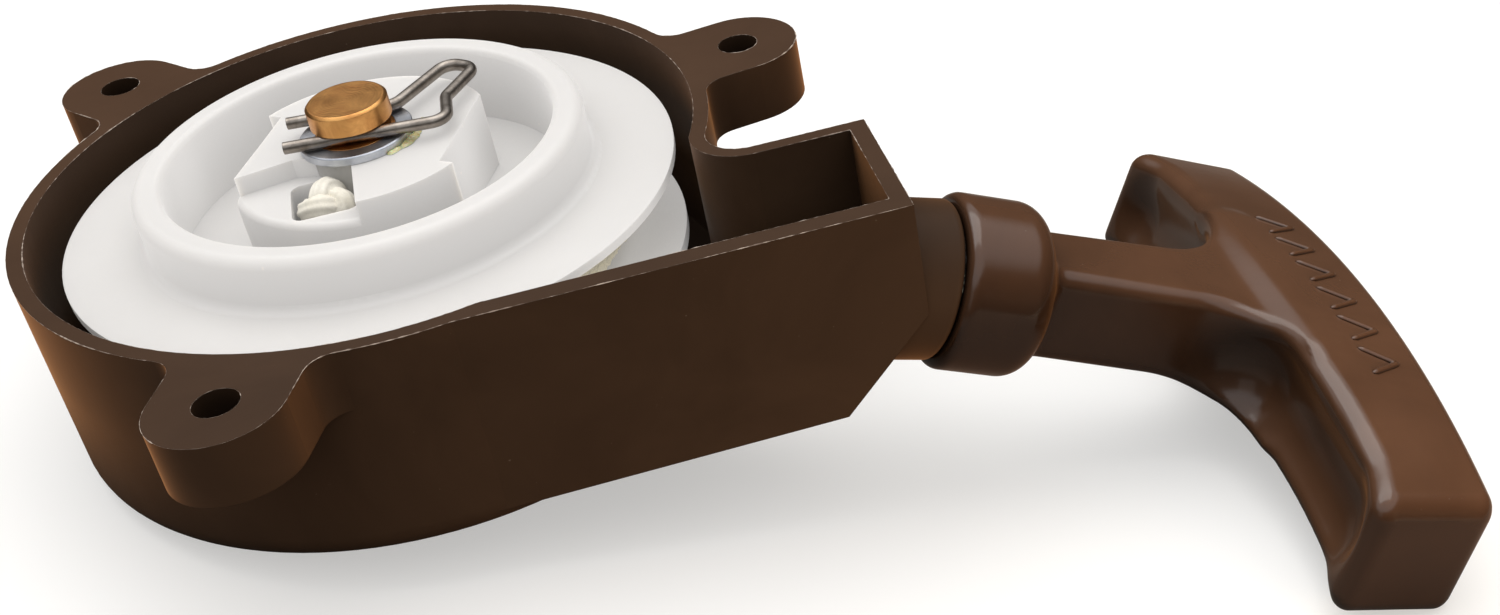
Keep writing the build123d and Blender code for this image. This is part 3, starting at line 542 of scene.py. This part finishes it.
RUN_START = 1.2 * MM
RUN_END = 4.5 * MM
lead_low, lead_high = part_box("rope_lead")
lead_r = -lead_low.y - ROPE_R
lead_z = lead_high.z - ROPE_R
wrap = [
    (lead_r * math.cos(a), lead_r * math.sin(a), lead_z)
    for a in np.linspace(math.radians(90), math.radians(270), 160)
]
eyelet_in = np.array(tube_end - pull * (4.2 * MM))
wrap_end = np.array((6.0 * MM, -lead_r, lead_z))
lead_reach = np.linalg.norm(eyelet_in - wrap_end)
slope = bezier(
    wrap_end,
    wrap_end + np.array((1.0, 0.0, 0.0)) * lead_reach * 0.35,
    eyelet_in - np.array(pull) * lead_reach * 0.35,
    eyelet_in,
    60,
)
lead_path = wrap + [tuple(p) for p in slope] + [tuple(np.array(tube_end + pull * RUN_START))]
rope_lead = braid("rope_lead_braid", lead_path, ROPE_R, rope_finish, "rope", 0.0006)
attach(rope_lead, "housing")
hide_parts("rope_lead")

# --- Rope that pays out between the eyelet and the handle ---
def straight(start, end):
    """A line's ends and middle."""
    return [tuple(start), tuple((start + end) / 2), tuple(end)]


RUN_ROPE_R = ROPE_R * 0.98
run_start = tube_end + pull * RUN_START
run_end = tube_end + pull * RUN_END
run_path = straight(run_start, run_end)
rope_run = braid("rope_run_braid", run_path, RUN_ROPE_R, rope_finish, "rope", 0.00012, pitch=2.2)
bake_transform(rope_run)
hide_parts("rope_run")

# --- Handle: the grip as one implicit solid, with its bar, neck, cup, blends and finger hollows ---
# Lengths in mm: U along the pull from the tube's mouth, V along the bar, W upwards.
CUP_END_U = 13.0
CUP_RADIUS = 11.5
BAR_HALF_LENGTH = 46.6
BAR_HALF_HEIGHT = 8.55
BAR_ARCH = 6.0
NECK_HALF_HEIGHT = 6.6
NECK_ROOT_U = 44.4
FLARE_R = 11.0
HOLLOW_R = 9.0
HOLLOW_DEPTH = 2.9
HOLLOW_NEAR = 16.0
HOLLOW_FAR = 36.0
HOLLOW_DROP = 1.3
BAR_BACK = 43.4
BAR_BACK_SWEEP = 2.3
BAR_FRONT = 62.1
BAR_FRONT_SWEEP = -0.5
BAR_END_DRAFT = 1.8
BAR_EDGE_R = 2.7
BAR_LEAN = 0.010
WAIST_DEPTH = 0.5
HORN_REACH = 1.9
NECK_ROOT_HALF = 6.7
NECK_EDGE_R = 2.3
NECK_DEEPEN = 1.8
NECK_BLEND = 3.0
HOLLOW_BLEND = 1.6
CUP_START_U = 0.15
CUP_BACK_R = 1.4
CUP_SHOULDER_R = 3.8
CUP_BLEND = 1.4
CUP_BORE_R = 8.8
CUP_BORE_U = 4.4
ROPE_BORE_R = 2.1
POCKET_R = 5.6
POCKET_U = 46.4
side_axis = np.array(grip_side)
up_axis = np.array(grip_up)
pull_axis = np.array(pull)


def grip_to_world(places):
    """Places along the pull, along the bar and upwards, in mm from the tube's mouth, in the row frame."""
    places = np.asarray(places, float)
    axes = np.stack([pull_axis, side_axis, up_axis])
    return np.array(tube_end) + places @ axes * MM


def smooth_min(a, b, width):
    """The lesser of two distances, blended where they are nearly equal."""
    near = np.maximum(width - np.abs(a - b), 0) / width
    return np.minimum(a, b) - near * near * width / 4


def smooth_step(value, low, high):
    t = np.clip((value - low) / (high - low), 0, 1)
    return t * t * (3 - 2 * t)


def rounded(overs, radius):
    """Distance to a box from the distances past its faces, with rounded edges."""
    moved = [over + radius for over in overs]
    outside = np.sqrt(sum(np.maximum(m, 0) ** 2 for m in moved))
    return outside + np.minimum(np.maximum.reduce(moved), 0) - radius


def bar_top(v):
    """Height of the bar's arched top above the pull's line."""
    return BAR_HALF_HEIGHT - BAR_ARCH * (v / (BAR_HALF_LENGTH + 1)) ** 2


def grip_field(u, v, w):
    """Distance in mm to the grip's surface, less than nought inside it."""
    reach = np.abs(v)
    share = (v / BAR_HALF_LENGTH) ** 2
    lean = BAR_LEAN * v
    waist = WAIST_DEPTH * np.exp(-(((reach - 28) / 9) ** 2))
    horn = HORN_REACH * smooth_step(reach, 37, 46)
    back = BAR_BACK + BAR_BACK_SWEEP * share + waist - horn + lean
    front = BAR_FRONT + BAR_FRONT_SWEEP * share + lean
    half_length = BAR_HALF_LENGTH - BAR_END_DRAFT * np.clip((u - back) / (front - back), 0, 1)
    overs = (
        np.abs(u - (back + front) / 2) - (front - back) / 2,
        reach - half_length,
        np.abs(w - bar_top(v) + BAR_HALF_HEIGHT) - BAR_HALF_HEIGHT,
    )
    bar = rounded(overs, BAR_EDGE_R)
    taper = np.clip((u - CUP_END_U) / (NECK_ROOT_U - CUP_END_U), 0, 1)
    past = np.clip(u - (NECK_ROOT_U - FLARE_R), 0, FLARE_R)
    half_width = NECK_ROOT_HALF + taper + FLARE_R - np.sqrt(FLARE_R**2 - past**2)
    deepen = NECK_DEEPEN * smooth_step(u, 30, 44)
    overs = (
        np.abs(u - 30.0) - 20.5,
        reach - half_width,
        np.abs(w + deepen / 2) - NECK_HALF_HEIGHT - deepen / 2,
    )
    body = smooth_min(bar, rounded(overs, NECK_EDGE_R), NECK_BLEND)
    for hand in (1, -1):
        ends = []
        for far in (HOLLOW_NEAR, HOLLOW_FAR):
            part = (far / BAR_HALF_LENGTH) ** 2
            floor_u = BAR_BACK + BAR_BACK_SWEEP * part + HOLLOW_DEPTH
            ends.append(np.array((floor_u - HOLLOW_R, hand * far, -BAR_ARCH * part - HOLLOW_DROP)))
        line = ends[1] - ends[0]
        along = (u - ends[0][0]) * line[0] + (v - ends[0][1]) * line[1] + (w - ends[0][2]) * line[2]
        along = np.clip(along / (line @ line), 0, 1)
        gaps = [value - ends[0][i] - line[i] * along for i, value in enumerate((u, v, w))]
        hollow = np.sqrt(sum(g * g for g in gaps)) - HOLLOW_R
        body = -smooth_min(-body, hollow, HOLLOW_BLEND)
    rho = np.sqrt(v * v + w * w)
    cup_middle = (CUP_START_U + CUP_END_U) / 2
    corner = np.where(u < cup_middle, CUP_BACK_R, CUP_SHOULDER_R)
    overs = (np.abs(u - cup_middle) - (CUP_END_U - CUP_START_U) / 2, rho - CUP_RADIUS)
    body = smooth_min(body, rounded(overs, corner), CUP_BLEND)
    body = np.maximum(body, -np.maximum(rho - CUP_BORE_R, u - CUP_BORE_U))
    body = np.maximum(body, ROPE_BORE_R - rho)
    return np.maximum(body, -np.maximum(rho - POCKET_R, POCKET_U - u))


def surface_net(field, low, step):
    """Points in the cells where a sampled field changes sign, and the quads that join them."""
    shape = np.array(field.shape)
    cells = tuple(shape - 1)
    total = np.zeros(cells + (3,))
    count = np.zeros(cells)
    crossings = []
    for a in range(3):
        b, c = (a + 1) % 3, (a + 2) % 3
        lower = [slice(None)] * 3
        upper = [slice(None)] * 3
        lower[a] = slice(0, shape[a] - 1)
        upper[a] = slice(1, shape[a])
        first, second = field[tuple(lower)], field[tuple(upper)]
        cross = (first < 0) != (second < 0)
        share = np.where(cross, first / np.where(cross, first - second, 1.0), 0.0)
        crossings.append((cross, first))
        for ob in (0, 1):
            for oc in (0, 1):
                window = [slice(None)] * 3
                window[b] = slice(ob, shape[b] - 1 + ob)
                window[c] = slice(oc, shape[c] - 1 + oc)
                hit = cross[tuple(window)]
                count += hit
                total[..., a] += share[tuple(window)]
                total[..., b] += ob * hit
                total[..., c] += oc * hit
    active = count > 0
    index = np.full(cells, -1)
    index[active] = np.arange(int(active.sum()))
    points = low + step * (np.argwhere(active) + total[active] / count[active][:, None])
    quads = []
    for a, (cross, first) in enumerate(crossings):
        b, c = (a + 1) % 3, (a + 2) % 3
        edges = np.argwhere(cross)
        corners = []
        for ob, oc in ((1, 1), (0, 1), (0, 0), (1, 0)):
            moved = edges.copy()
            moved[:, b] -= ob
            moved[:, c] -= oc
            corners.append(index[tuple(moved.T)])
        quad = np.stack(corners, axis=1)
        inward = first[tuple(edges.T)] >= 0
        quad[inward] = quad[inward][:, ::-1]
        quads.append(quad)
    return points, np.concatenate(quads)


NET_STEP = 0.45
PROBE = 0.05
net_low = np.array((-0.4, -48.5, -16.5))
net_high = np.array((64.0, 48.5, 12.6))
net_axes = [np.arange(net_low[i], net_high[i], NET_STEP) for i in range(3)]
net_places = np.meshgrid(*net_axes, indexing="ij")
grip_points, grip_quads = surface_net(grip_field(*net_places), net_low, NET_STEP)
for _ in range(3):
    value = grip_field(*grip_points.T)
    slopes = []
    for i in range(3):
        ahead, behind = grip_points.copy(), grip_points.copy()
        ahead[:, i] += PROBE
        behind[:, i] -= PROBE
        slopes.append((grip_field(*ahead.T) - grip_field(*behind.T)) / (2 * PROBE))
    slopes = np.stack(slopes, axis=1)
    size = np.maximum((slopes**2).sum(axis=1), 0.25)
    move = np.clip(value / size, -NET_STEP / 2, NET_STEP / 2)
    grip_points = grip_points - slopes * move[:, None]
grip_body = make_object(
    "grip_body", grip_to_world(grip_points), grip_quads.tolist(), handle_finish, "handle_plastic"
)
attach(grip_body, "handle")
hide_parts("handle_grip")

# --- Raised chevrons on the bar's top, pointing the way it is pulled ---
CHEVRON_BACK, CHEVRON_TIP, CHEVRON_HALF = 51.6, 56.4, 2.6
CHEVRON_MIDDLES = (15.0, 8.0, 1.0, -6.0, -13.0, -20.0)
RIB_WIDE, RIB_TALL = 0.50 * MM, 0.40 * MM
ribs = []
for middle in CHEVRON_MIDDLES:
    corners = [
        (CHEVRON_BACK, middle - CHEVRON_HALF),
        (CHEVRON_TIP, middle),
        (CHEVRON_BACK, middle + CHEVRON_HALF),
    ]
    line = resample([(u, v, bar_top(v)) for u, v in corners], 0.3)
    spine = grip_to_world(line)
    count = len(spine)
    forward = np.gradient(spine, axis=0)
    forward /= np.linalg.norm(forward, axis=1)[:, None]
    across = np.cross(forward, up_axis)
    across /= np.linalg.norm(across, axis=1)[:, None]
    from_ends = np.minimum(np.arange(count), count - 1 - np.arange(count))
    taper = np.sqrt(np.clip(from_ends / 2.0, 0.15, 1.0))
    ribs.append(tube(spine, RIB_WIDE * taper, RIB_TALL * taper, 8, across, np.tile(up_axis, (count, 1))))
chevrons = make_object("pull_chevrons", *join(ribs), handle_finish, "handle_plastic")
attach(chevrons, "handle")

# --- Rope and knot inside the handle ---
grip_rope_start = tube_end + pull * RUN_END
grip_rope_end = centre_of("knot_washer") + pull * (0.5 * MM)
grip_rope_path = straight(grip_rope_start, grip_rope_end)
handle_rope = braid("handle_rope_braid", grip_rope_path, RUN_ROPE_R, rope_finish, "rope", 0.0006)
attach(handle_rope, "handle")
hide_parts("handle_rope")


def cord_loop(name, path, radius, side, up, finish):
    """A closed loop of cord whose fine braid shows as shallow diamonds in its surface."""
    count, corners = len(path), 48
    length = np.linalg.norm(np.roll(path, -1, axis=0) - path, axis=1).sum()
    turns = 4 * round(length / (radius * 3.2) / 4)
    vertices = []
    for i in range(count):
        s = 2 * math.pi * turns * i / count
        for c in range(corners):
            a = 2 * math.pi * c / corners
            relief = math.cos(4 * a + s) * math.cos(4 * a - s)
            r = radius * (1.0 + 0.12 * relief)
            vertices.append(path[i] + side[i] * (r * math.cos(a)) + up[i] * (r * math.sin(a)))
    turned_by = math.atan2(np.dot(side[-1], up[0]), np.dot(side[-1], side[0]))
    offset = int(round(turned_by / (2 * math.pi) * corners)) % corners
    faces = []
    for i in range(count):
        j = (i + 1) % count
        move = offset if j == 0 else 0
        for c in range(corners):
            d = (c + 1) % corners
            far_c, far_d = (c + move) % corners, (d + move) % corners
            faces.append((i * corners + c, i * corners + d, j * corners + far_d, j * corners + far_c))
    return make_object(name, vertices, faces, finish, "rope")


KNOT_STEPS = 180


def knot(name, middle, axis, reach, cord_r, finish, lean=0.0):
    """A pulled-up overhand knot about an axis, as one closed loop of braided cord."""
    axis = np.array(axis, float) / np.linalg.norm(axis)
    side = np.cross(axis, (0.31, 0.52, 0.79))
    side /= np.linalg.norm(side)
    up = np.cross(axis, side)
    path = []
    for i in range(KNOT_STEPS + 1):
        t = 2 * math.pi * i / KNOT_STEPS
        x = (math.sin(t + lean) + 2 * math.sin(2 * t)) / 3
        y = (math.cos(t + lean) - 2 * math.cos(2 * t)) / 3
        z = -math.sin(3 * t) * 0.52
        round_place = (reach - cord_r) * (side * x + up * y)
        path.append(np.array(middle) + round_place + axis * z * (reach - cord_r) * 1.05)
    path = resample(path, 0.00018)[:-1]
    _, side, up = carried_frames(path)
    return cord_loop(name, path, cord_r, side, up, finish)


knot_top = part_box("reel_knot")[1].z
knot_middle = (-5.2 * MM, -8.8 * MM, knot_top - 3.5 * MM)
reel_knot = knot("reel_knot_braid", knot_middle, (0.25, -0.45, 1.0), 3.9 * MM, 1.5 * MM, knot_finish, 0.3)
tail_path = [
    (-6.6 * MM, -11.4 * MM, -2.6 * MM),
    (-6.6 * MM, -11.4 * MM, -10.6 * MM),
    (-7.2 * MM, -12.4 * MM, -12.2 * MM),
    (-8.2 * MM, -14.1 * MM, -12.65 * MM),
    (-13.2 * MM, -22.8 * MM, -12.65 * MM),
]
knot_tail = braid("reel_knot_tail", tail_path, ROPE_R * 0.95, rope_finish, "rope", 0.0006)
for piece in (reel_knot, knot_tail):
    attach(piece, "reel")
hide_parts("reel_knot")

grip_knot_at = centre_of("handle_knot")
handle_knot = knot("handle_knot_braid", grip_knot_at, pull, 4.1 * MM, 1.45 * MM, knot_finish)
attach(handle_knot, "handle")
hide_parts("handle_knot")

# --- Flash and burrs along the housing's rim ---
housing = nodes["starter_housing"]


def rim_loops(obj, height, tolerance):
    """Closed chains of the edges round a mesh's flat faces at a height."""
    mesh = obj.data
    merged = {}
    index = []
    for v in mesh.vertices:
        key = (round(v.co.x, 6), round(v.co.y, 6), round(v.co.z, 6))
        index.append(merged.setdefault(key, len(merged)))
    places = [Vector(k) for k in merged]
    use = {}
    for face in mesh.polygons:
        if face.normal.z < 0.99 or abs(face.center.z - height) > tolerance:
            continue
        ids = [index[i] for i in face.vertices]
        for a, b in zip(ids, ids[1:] + ids[:1]):
            key = (min(a, b), max(a, b))
            use[key] = use.get(key, 0) + 1
    neighbours = {}
    for (a, b), times in use.items():
        if times == 1:
            neighbours.setdefault(a, []).append(b)
            neighbours.setdefault(b, []).append(a)
    loops, seen = [], set()
    for first in neighbours:
        if first in seen:
            continue
        chain = [first]
        seen.add(first)
        while True:
            onward = [n for n in neighbours[chain[-1]] if n not in seen]
            if not onward:
                break
            chain.append(onward[0])
            seen.add(onward[0])
        if len(chain) > 8:
            loops.append([places[i] for i in chain])
    return loops


BURR_BROAD, BURR_FINE, BURR_LEAST = 0.00009, 0.00006, 0.000006
BURR_SPREAD = 1.3
burr_parts = []
for number, loop in enumerate(rim_loops(housing, 0.0, 0.00005)):
    line = resample([tuple(p) for p in loop] + [tuple(loop[0])], 0.00022)[:-1]
    thick = []
    for p in line:
        broad = noise.noise(Vector(p) * 95.0 + Vector((number * 7.0, 0, 0)))
        fine = noise.noise(Vector(p) * 1300.0)
        thick.append(max(BURR_LEAST, BURR_BROAD * (broad + 0.10) + BURR_FINE * fine))
    thick = np.array(thick)
    _, side, up = carried_frames(line)
    burr_parts.append(tube(line, thick * BURR_SPREAD, thick, 5, side, up, closed=True))
burrs = make_object("rim_burrs", *join(burr_parts), burr_finish, "housing_plastic", smooth=False)
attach(burrs, "housing")

# --- Floor: a pale sheet the drum and the handle lie on, fading out so a pulled handle stays in view ---
grip_outline = np.array([v.co for v in nodes["handle_grip"].data.vertices])
drum_points = np.array([v.co for v in housing.data.vertices])
TILT_STEP = 0.005
for step in range(4000):
    tilt = math.radians(step * TILT_STEP)
    floor_up = np.array((math.sin(tilt), 0.0, math.cos(tilt)))
    if (grip_outline @ floor_up).min() >= (drum_points @ floor_up).min():
        break
floor_level = (drum_points @ floor_up).min()
floor_middle = Vector((0.03, -0.015, 0.0))
floor_middle = floor_middle + Vector(floor_up) * (floor_level - floor_middle.dot(Vector(floor_up)))

FLOOR_SIZE = 6.0
FADE_START, FADE_END = 0.16, 0.34
bpy.ops.mesh.primitive_grid_add(x_subdivisions=2, y_subdivisions=2, size=FLOOR_SIZE)
floor = bpy.context.object
floor.name = "floor"
floor.rotation_mode = "QUATERNION"
floor.rotation_quaternion = Vector(floor_up).to_track_quat("Z", "Y")
floor.location = floor_middle
floor_finish = Finish("PaleFloor", 0.9, specular=0.1)
camera_ray = floor_finish.node("LightPath").outputs["Is Camera Ray"]
floor_finish.colour(floor_finish.mix(camera_ray, (0.16, 0.15, 0.14), (0.52, 0.518, 0.514)))
floor_finish.glow((1.0, 0.995, 0.985), floor_finish.math("MULTIPLY", camera_ray, 0.46))
away = floor_finish.node("VectorMath", {0: floor_finish.place}, operation="LENGTH").outputs["Value"]
fading = {"Value": away, "From Min": FADE_START, "From Max": FADE_END, "To Min": 1.0, "To Max": 0.0}
fade = floor_finish.node("MapRange", fading, interpolation_type="SMOOTHSTEP").outputs["Result"]
front = floor_finish.math("SUBTRACT", 1.0, floor_finish.node("NewGeometry").outputs["Backfacing"])
floor_finish.tree.links.new(floor_finish.math("MULTIPLY", fade, front), floor_finish.shader.inputs["Alpha"])
paint(floor, floor_finish)

# --- Light: a broad panel overhead, three weak ones from the sides, and a soft room ---
ROOM_LOW = 0.08
ROOM_HIGH = 1.15
MIRRORED_LOW = 0.04
MIRRORED_HIGH = 0.95

# Name, place, target, size, power, colour, and whether glossy surfaces mirror it.
PANELS = (
    ("overhead", (0.10, 0.22, 0.85), (0.03, -0.02, -0.02), (1.1, 0.8), 5.5, (1.0, 0.985, 0.96), True),
    ("front_fill", (-0.75, -0.75, 0.45), (0.02, -0.02, -0.02), (0.6, 0.5), 0.25, (1.0, 0.97, 0.93), True),
    ("end_fill", (0.185, -0.2, -0.03), (0.135, -0.085, -0.052), (0.09, 0.07), 0.2, (1.0, 0.78, 0.55), False),
    ("left_fill", (-0.45, -0.04, -0.035), (-0.05, -0.02, -0.025), (0.3, 0.06), 0.65, (1.0, 0.68, 0.4), False),
)
for name, place, target, size, power, colour, mirrored_in_gloss in PANELS:
    lamp = bpy.data.lights.new(name, "AREA")
    lamp.shape = "RECTANGLE"
    lamp.size, lamp.size_y = size
    lamp.energy = power
    lamp.color = colour
    made = bpy.data.objects.new(name, lamp)
    made.location = place
    made.rotation_mode = "QUATERNION"
    made.rotation_quaternion = (Vector(target) - Vector(place)).to_track_quat("-Z", "Y")
    made.visible_glossy = mirrored_in_gloss
    bpy.context.scene.collection.objects.link(made)

world = bpy.data.worlds.new("Studio")
bpy.context.scene.world = world
world.use_nodes = True
tree = world.node_tree
tree.nodes.clear()


def sky_background(colour, strength):
    made = tree.nodes.new("ShaderNodeBackground")
    made.inputs["Color"].default_value = (*colour, 1.0)
    made.inputs["Strength"].default_value = strength
    return made.outputs["Background"]


def choose_sky(factor, first, second):
    made = tree.nodes.new("ShaderNodeMixShader")
    tree.links.new(factor, made.inputs["Fac"])
    tree.links.new(first, made.inputs[1])
    tree.links.new(second, made.inputs[2])
    return made.outputs["Shader"]


rays = tree.nodes.new("ShaderNodeLightPath").outputs
toward = tree.nodes.new("ShaderNodeTexCoord").outputs["Generated"]
split_toward = tree.nodes.new("ShaderNodeSeparateXYZ")
tree.links.new(toward, split_toward.inputs["Vector"])


def height_blend(start, end):
    """Nought below one height of the view direction and one above another."""
    made = tree.nodes.new("ShaderNodeMapRange")
    made.interpolation_type = "SMOOTHSTEP"
    made.inputs["From Min"].default_value = start
    made.inputs["From Max"].default_value = end
    tree.links.new(split_toward.outputs["Z"], made.inputs["Value"])
    return made.outputs["Result"]


mirrored = choose_sky(
    height_blend(0.46, 0.64),
    sky_background((1.0, 0.95, 0.90), MIRRORED_LOW),
    sky_background((0.93, 0.96, 1.0), MIRRORED_HIGH),
)
soft = choose_sky(
    height_blend(0.15, 0.85),
    sky_background((1.0, 0.96, 0.92), ROOM_LOW),
    sky_background((1.0, 0.985, 0.965), ROOM_HIGH),
)
lit = choose_sky(rays["Is Glossy Ray"], soft, mirrored)
seen = sky_background((0.985, 0.985, 0.982), 1.0)
sky_out = tree.nodes.new("ShaderNodeOutputWorld")
tree.links.new(choose_sky(rays["Is Camera Ray"], lit, seen), sky_out.inputs["Surface"])

# --- Camera at the photograph's angle ---
BEARING, DIP, ROLL = math.radians(11.95), math.radians(35.40), math.radians(-8.01)
forward = Vector((math.sin(BEARING) * math.cos(DIP), math.cos(BEARING) * math.cos(DIP), -math.sin(DIP)))
level = forward.cross(Vector((0, 0, 1))).normalized()
rise = level.cross(forward)
right = level * math.cos(ROLL) + rise * math.sin(ROLL)
top = rise * math.cos(ROLL) - level * math.sin(ROLL)
camera_data = bpy.data.cameras.new("camera")
camera_data.sensor_width = 36.0
camera_data.lens = 47.56
camera_data.shift_x = -0.1270
camera_data.shift_y = 0.0374
camera_data.clip_start = 0.01
camera = bpy.data.objects.new("camera", camera_data)
turn_matrix = Matrix((right, top, -forward)).transposed().to_4x4()
camera.matrix_world = Matrix.Translation((0.02121, -0.24295, 0.12040)) @ turn_matrix
bpy.context.scene.collection.objects.link(camera)
bpy.context.scene.camera = camera
bpy.context.scene.view_settings.view_transform = "Standard"
